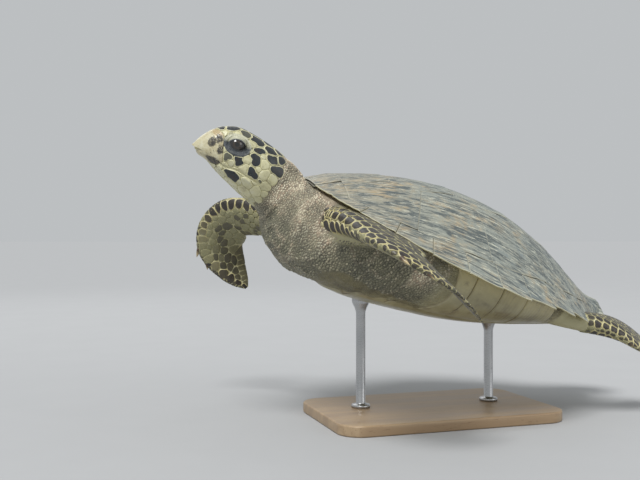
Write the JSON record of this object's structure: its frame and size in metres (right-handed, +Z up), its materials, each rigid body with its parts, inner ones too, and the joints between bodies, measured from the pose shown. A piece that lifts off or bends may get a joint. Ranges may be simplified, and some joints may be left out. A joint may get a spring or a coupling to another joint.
{
  "type": "hawksbill sea turtle model",
  "caption": "Life-size still model of a hawksbill sea turtle in a banked swimming pose, flippers swept, held over a flat base by upright rods.",
  "frame": {"origin": "middle of the base's underside, on the surface that the stand rests on", "axes": "+Z up; the turtle's head is towards -X and its left side towards -Y, nose up by 21 degrees and left side down by 12 degrees"},
  "size_m": [0.8188, 0.619, 0.4814],
  "materials": {
    "carapace_plate": "worn satin horn plates, grey-green with pale and dark streaks and tan patches",
    "marginal_plate": "worn satin horn plates with paler outer edges",
    "belly_plate": "smooth cream-tan horn with faint seams",
    "head_skin": "matt cream skin under dark brown-black scales",
    "body_skin": "wrinkled, granular tan-grey skin",
    "flipper_skin": "cream skin between dark brown-black scales",
    "beak_horn": "satin pale horn with fine growth lines and a dark patch",
    "claw_horn": "satin pale horn",
    "eye": "wet, dark brown-black",
    "stand_wood": "dark stained wood, satin",
    "stand_steel": "brushed rod"
  },
  "bodies": {
    "root": {"beak_lower": "beak_horn", "beak_upper": "beak_horn", "claw_front_left_1": "claw_horn", "claw_front_left_2": "claw_horn", "claw_front_right_1": "claw_horn", "claw_front_right_2": "claw_horn", "claw_hind_left_1": "claw_horn", "claw_hind_left_2": "claw_horn", "claw_hind_right_1": "claw_horn", "claw_hind_right_2": "claw_horn", "costal_left_1": "carapace_plate", "costal_left_2": "carapace_plate", "costal_left_3": "carapace_plate", "costal_left_4": "carapace_plate", "costal_right_1": "carapace_plate", "costal_right_2": "carapace_plate", "costal_right_3": "carapace_plate", "costal_right_4": "carapace_plate", "eye_left": "eye", "eye_right": "eye", "flipper_front_left": "flipper_skin", "flipper_front_right": "flipper_skin", "flipper_hind_left": "flipper_skin", "flipper_hind_right": "flipper_skin", "head": "head_skin", "jaw": "head_skin", "marginals_left": "marginal_plate", "marginals_right": "marginal_plate", "neck": "body_skin", "nuchal": "carapace_plate", "plastron": "belly_plate", "stand_base": "stand_wood", "stand_rod_1": "stand_steel", "stand_rod_2": "stand_steel", "tail": "body_skin", "throat": "body_skin", "trunk": "body_skin", "vertebral_1": "carapace_plate", "vertebral_2": "carapace_plate", "vertebral_3": "carapace_plate", "vertebral_4": "carapace_plate", "vertebral_5": "carapace_plate"}
  },
  "joints": []
}
